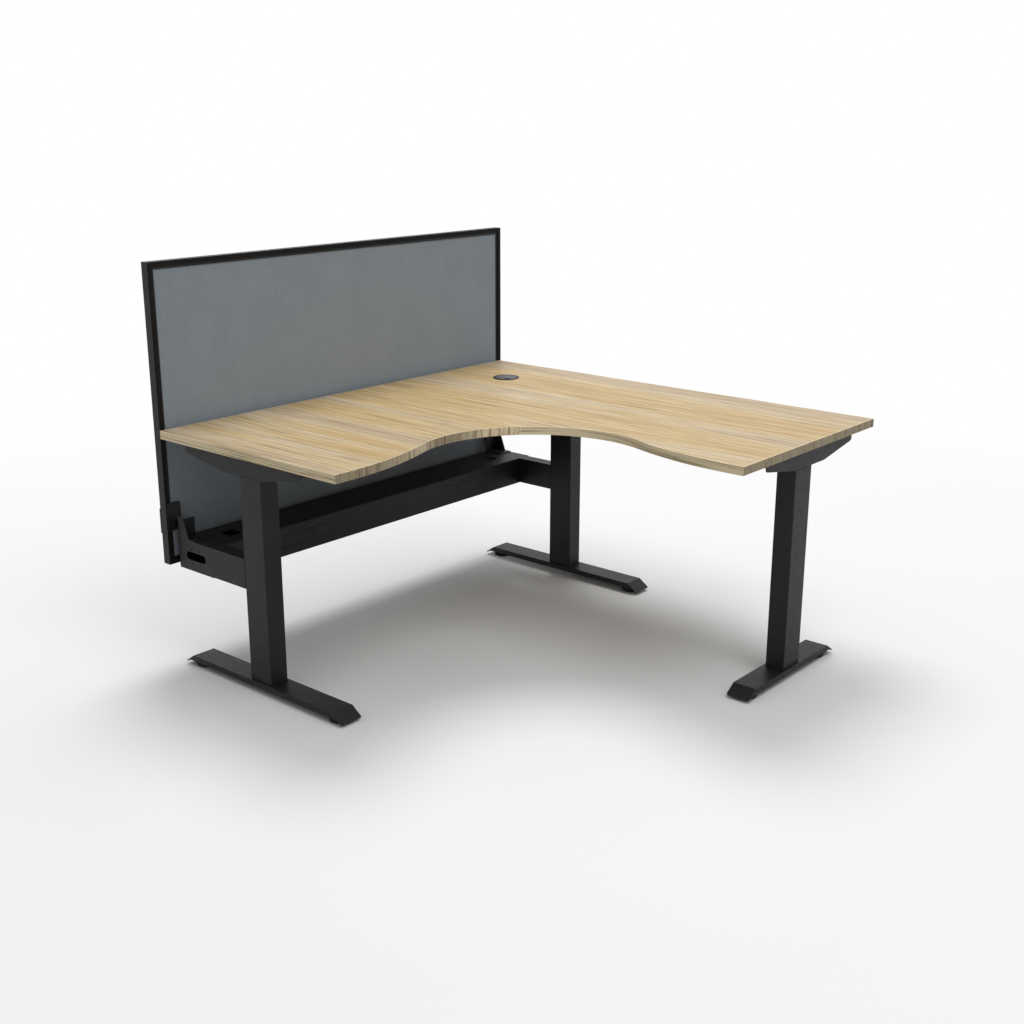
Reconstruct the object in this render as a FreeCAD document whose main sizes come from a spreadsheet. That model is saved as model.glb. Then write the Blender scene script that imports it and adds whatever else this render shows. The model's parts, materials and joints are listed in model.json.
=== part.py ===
"""Corner workstation: L-shaped worktop on three legs, with a cable tray and a fabric screen.

Lengths are millimetres and angles degrees. X runs along the right wing and Y runs up to the
corner, so the left wing points along -Y. The origin is the middle of the whole outline, on
the floor. Places are first given as two distances from the worktop's back corner: along the
right wing, and down the left wing.
"""
import FreeCAD
import Part
import Sketcher
import math
import os
import re

SIZES = {
    # Worktop
    "wing_length": 1500,
    "wing_depth": 750,
    "top_height": 734,
    "top_thickness": 25,
    "band_thickness": 2,
    "band_round": 0.8,
    "waist_inset": 80,
    "shoulder_radius": 920,
    "end_straight": 56,
    # Cable grommet
    "grommet_setback": 240,
    "grommet_hole": 80,
    "flange_diameter": 90,
    "flange_height": 2.5,
    "sleeve_wall": 2,
    "sleeve_fit": 0.1,
    "ledge_width": 3,
    "ledge_height": 2,
    "cap_thickness": 3,
    "cap_bevel": 0.8,
    "cap_gap": 0.3,
    "notch_width": 26,
    "notch_depth": 16,
    # Legs
    "leg_setback": 362,
    "end_inset": 31,
    "corner_inset": 25,
    "column_width": 92,
    "column_depth": 61,
    "column_wall": 2.5,
    "column_round": 3,
    "plate_gap": 0.2,
    "end_plate": 8,
    # Feet
    "foot_long": 699,
    "foot_short": 504,
    "foot_width": 75,
    "foot_height": 36,
    "foot_sheet": 3,
    "wall_depth": 18,
    "flap_length": 46,
    "flap_angle": 34,
    "flap_round": 6,
    # Levelling glides
    "glide_inset": 12.5,
    "pad_diameter": 60,
    "pad_height": 10,
    "pad_bevel": 2,
    "stem_diameter": 8,
    "stem_spare": 0.3,
    "stem_fit": 0.05,
    "weld_nut": 15,
    "weld_nut_height": 10,
    # Brackets under the worktop
    "bracket_length": 500,
    "bracket_width": 60,
    "bracket_sheet": 3,
    "bracket_drop": 61,
    "bracket_end_drop": 32,
    "bracket_round": 10,
    "zone_length": 166,
    "bracket_shift": 37,
    "head_plate": 5,
    "screw_diameter": 5,
    "screw_head": 10,
    "screw_head_height": 3,
    "screw_bite": 16,
    "screw_end_margin": 35,
    "screw_pitch": 95,
    # Bolts
    "bolt_diameter": 8,
    "bolt_head": 14.4,
    "bolt_head_height": 5.3,
    "bolt_fit": 0.05,
    "bolt_along": 26,
    "bolt_across": 15,
    "rivet_diameter": 13,
    "rivet_length": 9,
    "small_bolt": 6,
    "small_head": 11,
    "small_head_height": 4,
    # Cable tray
    "tray_setback": 8,
    "tray_depth": 162,
    "tray_right": 33,
    "tray_left_setin": 31,
    "tray_bottom": 311,
    "tray_height": 92,
    "tray_sheet": 2,
    "lid_hole": 46,
    "lid_hole_end": 133,
    "knockout_offset": 400,
    "knockout_wide": 130,
    "knockout_narrow": 61,
    "knockout_height": 38,
    "knockout_web": 4,
    "knockout_gap": 0.8,
    "slot_length": 91,
    "slot_height": 25,
    "end_hole": 5,
    "end_hole_along": 20,
    "end_hole_up": 22,
    "arm_width": 46,
    "arm_sheet": 3,
    "arm_lift": 2,
    "arm_bolt_up": 24,
    # Screen
    "screen_gap": 14,
    "screen_thickness": 28,
    "screen_extra": 14,
    "screen_height": 898,
    "screen_bottom": 317,
    "screen_overhang": 23,
    "rail_face": 14,
    "lip_face": 7,
    "lip_step": 3,
    "groove_depth": 8,
    "core_thickness": 12,
    "cloth_thickness": 2,
    "panel_gap": 0.3,
    # Screen brackets
    "stand_back": 10,
    "stand_reach": 83,
    "stand_width": 58,
    "stand_sheet": 3,
    "upright_height": 53,
    "gusset_reach": 58,
    "gusset_top": 22,
    "gusset_height": 68,
    "clamp_overhang": 19,
    "clamp_width": 47,
    "clamp_height": 86,
    "clamp_lift": 19,
    "clamp_sheet": 3,
    "clamp_round": 8,
    "rear_height": 76,
    "rear_lift": 6,
    "rear_standoff": 6,
    "clamp_bolt_in": 14,
    "clamp_bolt_low": 28,
    "clamp_bolt_pitch": 16,
    "washer_diameter": 16,
    "spacer_diameter": 10,
    "stand_bolt_in": 20,
    "stand_bolt_front": 18,
    # Cuts run this far past the faces that they go through
    "overrun": 5,
    # Points closer than this count as the same
    "same_place": 0.1,
}

# Places and sizes that follow from the ones above.
DERIVED = {
    "top_under": "top_height - top_thickness",
    "back_reach": "screen_gap + screen_thickness + rear_standoff + clamp_sheet + small_head_height",
    "corner_x": "(back_reach - wing_length) / 2",
    "corner_y": "(wing_length - screen_overhang) / 2",
    "bay_span": "wing_length - end_straight - wing_depth + waist_inset",
    "bay_radius": "bay_span + waist_inset - sqrt(2 * waist_inset * (bay_span + shoulder_radius))",
    "bay_centre": "wing_depth - waist_inset + bay_radius",
    "sleeve_bore": "grommet_hole - 2 * sleeve_fit - 2 * sleeve_wall",
    "end_line": "wing_length - end_inset - column_depth / 2",
    "corner_line": "corner_inset + column_depth / 2",
    "flap_run": "flap_length * cos(flap_angle)",
    "flap_drop": "flap_length * sin(flap_angle)",
    "stem_top": "foot_height - foot_sheet - stem_spare",
    "bracket_under": "top_under - bracket_drop",
    "bracket_back": "leg_setback - bracket_shift - bracket_length / 2",
    "column_back": "leg_setback - column_width / 2",
    "tray_front": "tray_setback + tray_depth",
    "tray_top": "tray_bottom + tray_height",
    "tray_left": "wing_length - tray_left_setin",
    "tray_inner": "tray_left - tray_right - 2 * tray_sheet",
    "screen_width": "wing_length + screen_extra",
    "screen_front": "-screen_gap",
    "screen_back": "-screen_gap - screen_thickness",
    "groove_width": "core_thickness + 2 * cloth_thickness + 2 * panel_gap",
    "rail_width": "rail_face + lip_face",
    "panel_inset": "rail_width - groove_depth + panel_gap",
    "cloth_in": "(screen_thickness - core_thickness) / 2 - cloth_thickness",
    "rear_plate": "screen_back - rear_standoff - clamp_sheet",
}

doc = FreeCAD.newDocument("corner_workstation")
sheet = doc.addObject("Spreadsheet::Sheet", "Sizes")
for row, (alias, value) in enumerate(SIZES.items(), start=1):
    sheet.set(f"A{row}", alias)
    sheet.set(f"B{row}", str(value))
    sheet.setAlias(f"B{row}", alias)
doc.recompute()

nodes = []


def bound(text):
    """Turn a formula of size names into one that any object of the document can hold."""
    def swap(match):
        name = match.group(0)
        if name in DERIVED:
            return f"({bound(DERIVED[name])})"
        if name in SIZES:
            return f"Sizes.{name}"
        return name
    return re.sub(r"[A-Za-z_]\w*", swap, text)


def number(text):
    """The present value of a formula."""
    return float(sheet.evalExpression(bound(text)))


def tie(thing, **formulas):
    """Bind properties of an object to formulas."""
    for name, text in formulas.items():
        thing.setExpression(name, bound(text))
    return thing


AXIS_TURNS = {
    "z": FreeCAD.Rotation(),
    "x": FreeCAD.Rotation(FreeCAD.Vector(0, 1, 0), 90),
    "y": FreeCAD.Rotation(FreeCAD.Vector(1, 0, 0), -90),
    "-z": FreeCAD.Rotation(FreeCAD.Vector(1, 0, 0), 180),
    "-x": FreeCAD.Rotation(FreeCAD.Vector(0, 1, 0), -90),
    "quarter": FreeCAD.Rotation(FreeCAD.Vector(0, 0, 1), -90),
}


def place(thing, at, turn="z"):
    """Put an object at a point given by three formulas, with one of the named turns."""
    thing.Placement = FreeCAD.Placement(FreeCAD.Vector(), AXIS_TURNS[turn])
    for axis, text in zip("xyz", at):
        thing.setExpression(f"Placement.Base.{axis}", bound(text))
    return thing


def spot(along_right, down_left, up):
    """A point given by its distances from the worktop's back corner and from the floor."""
    return f"corner_x + {along_right}", f"corner_y - ({down_left})", up


def box(name, size, at, turn="z"):
    block = doc.addObject("Part::Box", name)
    tie(block, Length=size[0], Width=size[1], Height=size[2])
    return place(block, at, turn)


def slab(name, right, left, up):
    """A box from three pairs of limits: along the right wing, down the left wing, and up."""
    size = [f"{high} - ({low})" for low, high in (right, left, up)]
    return box(name, size, spot(right[0], left[1], up[0]))


def rod(name, diameter, height, at, turn="z"):
    bar = doc.addObject("Part::Cylinder", name)
    tie(bar, Radius=f"({diameter}) / 2", Height=height)
    return place(bar, at, turn)


def taper(name, low_diameter, high_diameter, height, at, turn="z"):
    cone = doc.addObject("Part::Cone", name)
    tie(cone, Radius1=f"({low_diameter}) / 2", Radius2=f"({high_diameter}) / 2", Height=height)
    return place(cone, at, turn)


def hexagon(name, corners, height, at, turn="z"):
    prism = doc.addObject("Part::Prism", name)
    prism.Polygon = 6
    tie(prism, Circumradius=f"({corners}) / 2", Height=height)
    return place(prism, at, turn)


def together(name, things):
    """Several separate solids in one object."""
    group = doc.addObject("Part::Compound", name)
    group.Links = things
    return group


def fuse(name, things):
    joined = doc.addObject("Part::MultiFuse", name)
    joined.Shapes = things
    joined.Refine = True
    return joined


def cut(name, base, tools):
    carved = doc.addObject("Part::Cut", name)
    carved.Base = base
    carved.Tool = tools[0] if len(tools) == 1 else together(f"{name}_tools", tools)
    return carved


def node(label, thing):
    """Mark an object as one physical piece, which gets a file of its own."""
    thing.Label = label
    nodes.append(thing)
    return thing


def draw_loop(sketch, loop):
    """Draw one closed loop: each entry is a corner, and the arc radius to the next one, if any.

    A positive radius bulges to the right of the way along, a negative one to the left.
    """
    corners = [FreeCAD.Vector(number(entry[0]), number(entry[1]), 0) for entry in loop]
    ends = []
    for index, entry in enumerate(loop):
        start = corners[index]
        stop = corners[(index + 1) % len(loop)]
        if len(entry) < 3:
            geometry = sketch.addGeometry(Part.LineSegment(start, stop))
            ends.append((geometry, 1, 2))
            continue
        radius = number(entry[2])
        chord = stop - start
        half = chord.Length / 2
        rise = abs(radius) - math.sqrt(max(radius * radius - half * half, 0))
        side = FreeCAD.Vector(chord.y, -chord.x, 0).normalize()
        middle = (start + stop) * 0.5 + side * math.copysign(rise, radius)
        geometry = sketch.addGeometry(Part.Arc(start, middle, stop))
        forward = sketch.getPoint(geometry, 1).distanceToPoint(start) < half
        ends.append((geometry, 1, 2) if forward else (geometry, 2, 1))
    for index, entry in enumerate(loop):
        geometry, first, last = ends[index]
        following, start_point, _ = ends[(index + 1) % len(loop)]
        sketch.addConstraint(Sketcher.Constraint("Coincident", geometry, last, following, start_point))
        for kind, text in (("DistanceX", entry[0]), ("DistanceY", entry[1])):
            fix(sketch, kind, (-1, 1, geometry, first), text)
        if len(entry) > 2:
            fix(sketch, "Radius", (geometry,), f"abs({entry[2]})")


def fix(sketch, kind, where, text):
    """Add one dimension to a sketch and bind it to its formula."""
    index = sketch.addConstraint(Sketcher.Constraint(kind, *where, number(text)))
    sketch.setExpression(f"Constraints[{index}]", bound(text))


def draw_circle(sketch, across, up, diameter):
    middle = FreeCAD.Vector(number(across), number(up), 0)
    circle = Part.Circle(middle, FreeCAD.Vector(0, 0, 1), number(diameter) / 2)
    geometry = sketch.addGeometry(circle)
    fix(sketch, "DistanceX", (-1, 1, geometry, 3), across)
    fix(sketch, "DistanceY", (-1, 1, geometry, 3), up)
    fix(sketch, "Radius", (geometry,), f"({diameter}) / 2")


def sheet_piece(name, plane, loops, depth, at, turn="z", circles=(), both_sides=False):
    """A body padded from a sketch of closed loops on one of its own origin planes."""
    body = doc.addObject("PartDesign::Body", name)
    sketch = body.newObject("Sketcher::SketchObject", f"{name}_sketch")
    support = [item for item in body.Origin.OriginFeatures if item.Role == plane][0]
    sketch.AttachmentSupport = (support, [""])
    sketch.MapMode = "FlatFace"
    for loop in loops:
        draw_loop(sketch, loop)
    for circle in circles:
        draw_circle(sketch, *circle)
    doc.recompute()
    pad = body.newObject("PartDesign::Pad", f"{name}_pad")
    pad.Profile = sketch
    tie(pad, Length=depth)
    if both_sides:
        pad.SideType = "Symmetric"
    doc.recompute()
    return place(body, at, turn)


def round_edges(body, radius, wanted):
    """Round the edges of a body whose end points pass a test in the body's own frame."""
    base = body.Tip
    names = []
    for index, edge in enumerate(base.Shape.Edges, start=1):
        if wanted([vertex.Point for vertex in edge.Vertexes]):
            names.append(f"Edge{index}")
    fillet = body.newObject("PartDesign::Fillet", f"{body.Name}_round")
    fillet.Base = (base, names)
    tie(fillet, Radius=radius)
    doc.recompute()
    return body


def near(value, text):
    """Whether a coordinate equals the present value of a formula."""
    return math.isclose(value, number(text), abs_tol=number("same_place"))


def round_rectangle(length, width, radius):
    """Loop of a rounded rectangle about the origin."""
    half_long = f"({length}) / 2"
    half_wide = f"({width}) / 2"
    in_long = f"{half_long} - ({radius})"
    in_wide = f"{half_wide} - ({radius})"
    return [
        (f"-({in_long})", f"-({half_wide})"),
        (in_long, f"-({half_wide})", radius),
        (half_long, f"-({in_wide})"),
        (half_long, in_wide, radius),
        (in_long, half_wide),
        (f"-({in_long})", half_wide, radius),
        (f"-({half_long})", in_wide),
        (f"-({half_long})", f"-({in_wide})", radius),
    ]


# Worktop

def worktop_loop(inset):
    """The L outline, drawn inwards by an inset, as a loop with the back corner at the origin."""
    low = inset
    high = f"wing_length - {inset}"
    front = f"wing_depth - {inset}"
    shoulder_start = "wing_length - end_straight"
    reach = "bay_radius + shoulder_radius"
    bay = f"bay_radius + {inset}"
    shoulder = f"shoulder_radius - {inset}"
    across = f"bay_centre - ({bay}) * (bay_centre - wing_depth + shoulder_radius) / ({reach})"
    along = f"bay_centre + ({bay}) * ({shoulder_start} - bay_centre) / ({reach})"
    return [
        (low, f"-({low})"),
        (low, f"-({high})"),
        (front, f"-({high})"),
        (front, f"-({shoulder_start})", shoulder),
        (across, f"-({along})", f"-({bay})"),
        (along, f"-({across})", shoulder),
        (shoulder_start, f"-({front})"),
        (high, f"-({front})"),
        (high, f"-({low})"),
    ]


LEGS = {
    "left": ("end_line", "foot_long", "z"),
    "corner": ("corner_line", "foot_long", "z"),
    "right": ("end_line", "foot_short", "quarter"),
}


def leg_spot(leg, from_back, across, up):
    """A point on a leg: distance from the back edge, distance across its middle line, height."""
    line, _, turn = LEGS[leg]
    if turn == "quarter":
        return f"corner_x + {line} + {across}", f"corner_y - ({from_back})", up
    return f"corner_x + {from_back}", f"corner_y - {line} + {across}", up


def screw_stations():
    """The four worktop screws of one bracket, as distances from the back edge."""
    first = "bracket_back + screw_end_margin"
    last = "bracket_back + bracket_length - screw_end_margin"
    return [first, f"{first} + screw_pitch", f"{last} - screw_pitch", last]


def build_worktop():
    at = spot("0", "0", "top_under")
    outline = sheet_piece("outline", "XY_Plane", [worktop_loop("0")], "top_thickness", at)
    round_edges(outline, "band_round", lambda ends: all(near(p.z, "0") for p in ends))
    round_edges(outline, "band_round", lambda ends: all(near(p.z, "top_thickness") for p in ends))
    board = sheet_piece("board", "XY_Plane", [worktop_loop("band_thickness")], "top_thickness", at)
    node("edge_band", cut("band", outline, [board]))

    middle = spot("grommet_setback", "grommet_setback", "top_under - overrun")
    holes = [rod("hole", "grommet_hole", "top_thickness + 2 * overrun", middle)]
    for leg in LEGS:
        for index, station in enumerate(screw_stations()):
            at = leg_spot(leg, station, "0", "top_under - overrun")
            size = "screw_diameter + 2 * bolt_fit"
            holes.append(rod(f"pilot_{leg}_{index}", size, "screw_bite + overrun", at))
    core = sheet_piece("core", "XY_Plane", [worktop_loop("band_thickness")], "top_thickness",
                       spot("0", "0", "top_under"))
    node("worktop", cut("top", core, holes))


def build_grommet():
    def at(height):
        return spot("grommet_setback", "grommet_setback", height)

    tube = rod("sleeve_tube", "grommet_hole - 2 * sleeve_fit", "top_thickness", at("top_under"))
    flange = rod("sleeve_flange", "flange_diameter", "flange_height", at("top_height"))
    seat = "top_height + flange_height - cap_thickness"
    bore = rod("sleeve_bore", "sleeve_bore", "cap_thickness + overrun", at(seat))
    ledge = rod("ledge_bore", "sleeve_bore - 2 * ledge_width", "ledge_height + 2 * overrun",
                at(f"{seat} - ledge_height - overrun"))
    below = rod("lower_bore", "sleeve_bore", f"{seat} - ledge_height - top_under + overrun",
                at("top_under - overrun"))
    hollow = fuse("sleeve_hollow", [bore, ledge, below])
    node("grommet_sleeve", cut("sleeve", fuse("sleeve_blank", [tube, flange]), [hollow]))

    width = "sleeve_bore - 2 * cap_gap"
    disc = rod("cap_disc", width, "cap_thickness - cap_bevel", at(seat))
    rim = taper("cap_rim", width, f"{width} - 2 * cap_bevel", "cap_bevel",
                at(f"{seat} + cap_thickness - cap_bevel"))
    blank = fuse("cap_blank", [disc, rim])
    # The notch lies on the diagonal towards the user.
    reach = f"({width}) / 2 - notch_depth + notch_width / 2"
    middle = spot(f"grommet_setback + ({reach}) / sqrt(2)", f"grommet_setback + ({reach}) / sqrt(2)",
                  f"{seat} - overrun")
    end = rod("notch_end", "notch_width", "cap_thickness + 2 * overrun", middle)
    mouth = box("notch_mouth", ("notch_depth + overrun", "notch_width", "cap_thickness + 2 * overrun"),
                middle)
    diagonal = FreeCAD.Rotation(FreeCAD.Vector(0, 0, 1), -45)
    mouth.Placement = FreeCAD.Placement(FreeCAD.Vector(), diagonal)
    side = "notch_width / 2 / sqrt(2)"
    tie(mouth, **{"Placement.Base.x": f"{middle[0]} - {side}", "Placement.Base.y": f"{middle[1]} - {side}"})
    tie(mouth, **{"Placement.Base.z": middle[2]})
    node("grommet_cap", cut("cap", blank, [fuse("notch", [end, mouth])]))


# Legs

def bolt_grid():
    """The four bolt places about a column's middle line."""
    return [(f"{a}bolt_along", f"{b}bolt_across") for a in ("", "-") for b in ("", "-")]


def build_foot(leg):
    _, length, turn = LEGS[leg]
    run, drop = "flap_run", "flap_drop"
    fold = "foot_sheet * tan(flap_angle / 2)"
    tip_in, tip_down = "foot_sheet * sin(flap_angle)", "foot_sheet * cos(flap_angle)"
    side = [
        ("0", f"foot_height - {drop}"),
        (tip_in, f"foot_height - {drop} - {tip_down}"),
        (f"{run} + {fold}", "foot_height - foot_sheet"),
        (f"{length} - {run} - {fold}", "foot_height - foot_sheet"),
        (f"{length} - {tip_in}", f"foot_height - {drop} - {tip_down}"),
        (length, f"foot_height - {drop}"),
        (f"{length} - {run}", "foot_height"),
        (run, "foot_height"),
    ]
    back = f"leg_setback - {length} / 2"
    plate = sheet_piece(f"foot_plate_{leg}", "XZ_Plane", [side], "foot_width",
                        leg_spot(leg, back, "0", "0"), turn, both_sides=True)
    tip = number(f"foot_height - {drop} + same_place")
    round_edges(plate, "flap_round",
                lambda ends: all(p.z < tip for p in ends) and ends[0].y == ends[-1].y)
    pieces = [plate]
    # The side walls run on under the flaps until the slope meets their lower edge.
    tail = "(wall_depth - foot_sheet / 2) / tan(flap_angle)"
    wall = [
        (f"{run} - {tail}", "foot_height - wall_depth"),
        (f"{length} - {run} + {tail}", "foot_height - wall_depth"),
        (f"{length} - {run}", "foot_height - foot_sheet / 2"),
        (run, "foot_height - foot_sheet / 2"),
    ]
    for index, across in enumerate(("foot_sheet - foot_width / 2", "foot_width / 2")):
        at = leg_spot(leg, back, across, "0")
        pieces.append(sheet_piece(f"foot_wall_{leg}_{index}", "XZ_Plane", [wall], "foot_sheet", at, turn))
    holes = []
    for index, (along, across) in enumerate(bolt_grid()):
        at = leg_spot(leg, f"leg_setback + {along}", across, "foot_height - foot_sheet - overrun")
        size = "bolt_diameter + 2 * bolt_fit"
        holes.append(rod(f"foot_hole_{leg}_{index}", size, "foot_sheet + 2 * overrun", at))
    node(f"foot_{leg}", cut(f"foot_cut_{leg}", fuse(f"foot_blank_{leg}", pieces), holes))


def arm_bolt_places(leg, from_back):
    """The two bolts of a tray arm, one over the other on the arm's middle line."""
    middle = "tray_bottom + arm_lift + (tray_height - arm_lift) / 2"
    across = "arm_width / 2 - column_depth / 2"
    return [leg_spot(leg, from_back, across, f"{middle} {sign} arm_bolt_up") for sign in "+-"]


def build_column(leg):
    turn = LEGS[leg][2]
    outer = round_rectangle("column_width", "column_depth", "column_round")
    inner = round_rectangle("column_width - 2 * column_wall", "column_depth - 2 * column_wall",
                            "column_round - column_wall")
    at = leg_spot(leg, "leg_setback", "0", "foot_height")
    tube = sheet_piece(f"tube_{leg}", "XY_Plane", [outer, inner], "bracket_under - foot_height", at, turn)
    if leg in ARMS:
        holes = []
        for index, place_of_bolt in enumerate(arm_bolt_places(leg, "column_back - overrun")):
            holes.append(rod(f"tube_hole_{leg}_{index}", "bolt_diameter + 2 * bolt_fit",
                             "column_wall + 2 * overrun", place_of_bolt, "x"))
        tube = cut(f"tube_cut_{leg}", tube, holes)
    node(f"column_{leg}", tube)


def column_end_plates(leg):
    """The tapped plates welded inside the two ends of a column."""
    turn = LEGS[leg][2]
    loop = round_rectangle("column_width - 2 * column_wall - 2 * plate_gap",
                           "column_depth - 2 * column_wall - 2 * plate_gap",
                           "column_round - column_wall")
    holes = [(along, across, "bolt_diameter + 2 * bolt_fit") for along, across in bolt_grid()]
    plates = []
    for index, low in enumerate(("foot_height", "bracket_under - end_plate")):
        at = leg_spot(leg, "leg_setback", "0", low)
        name = f"end_plate_{leg}_{index}"
        plates.append(sheet_piece(name, "XY_Plane", [loop], "end_plate", at, turn, holes))
    return plates


def bolt(name, diameter, head, head_height, shank, at, turn):
    """A hexagon bolt: its shank runs along the turn's axis from the face that the head sits on."""
    bar = rod(f"{name}_shank", diameter, shank, at, turn)
    axis = turn[-1]
    back = f"+ {head_height}" if turn.startswith("-") else f"- ({head_height})"
    seat = [f"{text} {back}" if letter == axis else text for letter, text in zip("xyz", at)]
    top = hexagon(f"{name}_head", head, head_height, seat, turn)
    return fuse(name, [top, bar])


def big_bolt(name, shank, at, turn):
    return bolt(name, "bolt_diameter", "bolt_head", "bolt_head_height", shank, at, turn)


def small_bolt(name, shank, at, turn):
    return bolt(name, "small_bolt", "small_head", "small_head_height", shank, at, turn)


def build_bracket(leg):
    turn = LEGS[leg][2]
    slope = "(bracket_length - zone_length) / 2"
    side = [
        ("0", "bracket_drop - bracket_end_drop"),
        (slope, "0"),
        (f"bracket_length - {slope}", "0"),
        ("bracket_length", "bracket_drop - bracket_end_drop"),
        ("bracket_length", "bracket_drop"),
        ("0", "bracket_drop"),
    ]
    at = leg_spot(leg, "bracket_back", "0", "bracket_under")
    blank = sheet_piece(f"bracket_{leg}_blank", "XZ_Plane", [side], "bracket_width", at, turn,
                        both_sides=True)
    end = "bracket_drop - bracket_end_drop"
    round_edges(blank, "bracket_round", lambda ends: all(near(p.z, end) for p in ends))
    inside = ("bracket_length + 2 * overrun", "bracket_width - 2 * bracket_sheet",
              "bracket_drop - bracket_sheet + overrun")
    tools = [box(f"bracket_{leg}_inside", inside,
                 leg_spot(leg, "bracket_back - overrun", "bracket_sheet - bracket_width / 2",
                          "bracket_under - overrun"), turn)]
    for index, station in enumerate(screw_stations()):
        at = leg_spot(leg, station, "0", "top_under - bracket_sheet - overrun")
        size = "screw_diameter + 2 * bolt_fit"
        tools.append(rod(f"bracket_{leg}_hole_{index}", size, "bracket_sheet + 2 * overrun", at))
    hollow = fuse(f"bracket_{leg}_hollow", tools)
    node(f"top_bracket_{leg}", cut(f"bracket_{leg}", blank, [hollow]))


def head_plate(leg):
    """The plate welded between a bracket's sides, which the column bolts to."""
    turn = LEGS[leg][2]
    width = "bracket_width - 2 * bracket_sheet - 2 * plate_gap"
    at = leg_spot(leg, "leg_setback - bracket_shift - zone_length / 2", f"-({width}) / 2",
                  "bracket_under")
    blank = box(f"head_blank_{leg}", ("zone_length", width, "head_plate"), at, turn)
    holes = []
    for index, (along, across) in enumerate(bolt_grid()):
        at = leg_spot(leg, f"leg_setback + {along}", across, "bracket_under - overrun")
        size = "bolt_diameter + 2 * bolt_fit"
        holes.append(rod(f"head_hole_{leg}_{index}", size, "head_plate + 2 * overrun", at))
    return cut(f"head_plate_{leg}", blank, holes)


def leg_fasteners():
    """Column bolts at the foot and at the bracket, and the screws into the worktop."""
    foot_bolts, head_bolts, screws = [], [], []
    for leg in LEGS:
        for index, (along, across) in enumerate(bolt_grid()):
            low = leg_spot(leg, f"leg_setback + {along}", across, "foot_height - foot_sheet")
            foot_bolts.append(big_bolt(f"foot_bolt_{leg}_{index}", "foot_sheet + end_plate", low, "z"))
            high = leg_spot(leg, f"leg_setback + {along}", across, "bracket_under + head_plate")
            head_bolts.append(big_bolt(f"head_bolt_{leg}_{index}", "head_plate + end_plate", high,
                                       "-z"))
        for index, station in enumerate(screw_stations()):
            at = leg_spot(leg, station, "0", "top_under - bracket_sheet")
            under = leg_spot(leg, station, "0", "top_under - bracket_sheet - screw_head_height")
            shank = rod(f"screw_{leg}_{index}_shank", "screw_diameter", "bracket_sheet + screw_bite", at)
            head = taper(f"screw_{leg}_{index}_head", "screw_head - screw_head_height", "screw_head",
                         "screw_head_height", under)
            screws.append(fuse(f"screw_{leg}_{index}", [shank, head]))
    node("foot_bolts", together("foot_bolt_group", foot_bolts))
    node("head_bolts", together("head_bolt_group", head_bolts))
    node("worktop_screws", together("screw_group", screws))


def build_glides():
    nuts = []
    for leg in LEGS:
        length = LEGS[leg][1]
        reach = f"({length} / 2 - flap_run - glide_inset)"
        for end, sign in (("back", "-"), ("front", "+")):
            def at(height):
                return leg_spot(leg, f"leg_setback {sign} {reach}", "0", height)

            name = f"{leg}_{end}"
            low = taper(f"pad_{name}_low", "pad_diameter - 2 * pad_bevel", "pad_diameter", "pad_bevel",
                        at("0"))
            drum = rod(f"pad_{name}_drum", "pad_diameter", "pad_height - 2 * pad_bevel",
                       at("pad_bevel"))
            high = taper(f"pad_{name}_high", "pad_diameter", "pad_diameter - 2 * pad_bevel", "pad_bevel",
                         at("pad_height - pad_bevel"))
            node(f"glide_pad_{name}", fuse(f"pad_{name}", [low, drum, high]))
            node(f"glide_stem_{name}", rod(f"stem_{name}", "stem_diameter", "stem_top - pad_height",
                                           at("pad_height")))
            under = "foot_height - foot_sheet - weld_nut_height"
            blank = hexagon(f"nut_{name}_blank", "weld_nut", "weld_nut_height", at(under))
            bore = rod(f"nut_{name}_bore", "stem_diameter + 2 * stem_fit", "weld_nut_height + 2 * overrun",
                       at(f"{under} - overrun"))
            nuts.append(cut(f"nut_{name}", blank, [bore]))
    node("glide_nuts", together("nut_group", nuts))


# Cable tray

ARMS = ("left", "corner")


def knockouts():
    """Centres along the tray and widths of the six knock-outs in the front face."""
    centre = "(tray_left + tray_right) / 2"
    step = "((knockout_wide + knockout_narrow) / 2 + knockout_web)"
    places = []
    for side in "+-":
        middle = f"{centre} {side} knockout_offset"
        places.append((middle, "knockout_wide"))
        places.append((f"{middle} + {step}", "knockout_narrow"))
        places.append((f"{middle} - {step}", "knockout_narrow"))
    return places


def knockout_slab(name, centre, width, spare, front):
    """One knock-out's box, grown by a spare all round, between two distances from the back edge."""
    half = f"({width} / 2 + {spare})"
    middle = "(tray_bottom + tray_height / 2)"
    rise = f"(knockout_height / 2 + {spare})"
    return slab(name, front, (f"{centre} - {half}", f"{centre} + {half}"),
                (f"{middle} - {rise}", f"{middle} + {rise}"))


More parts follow.
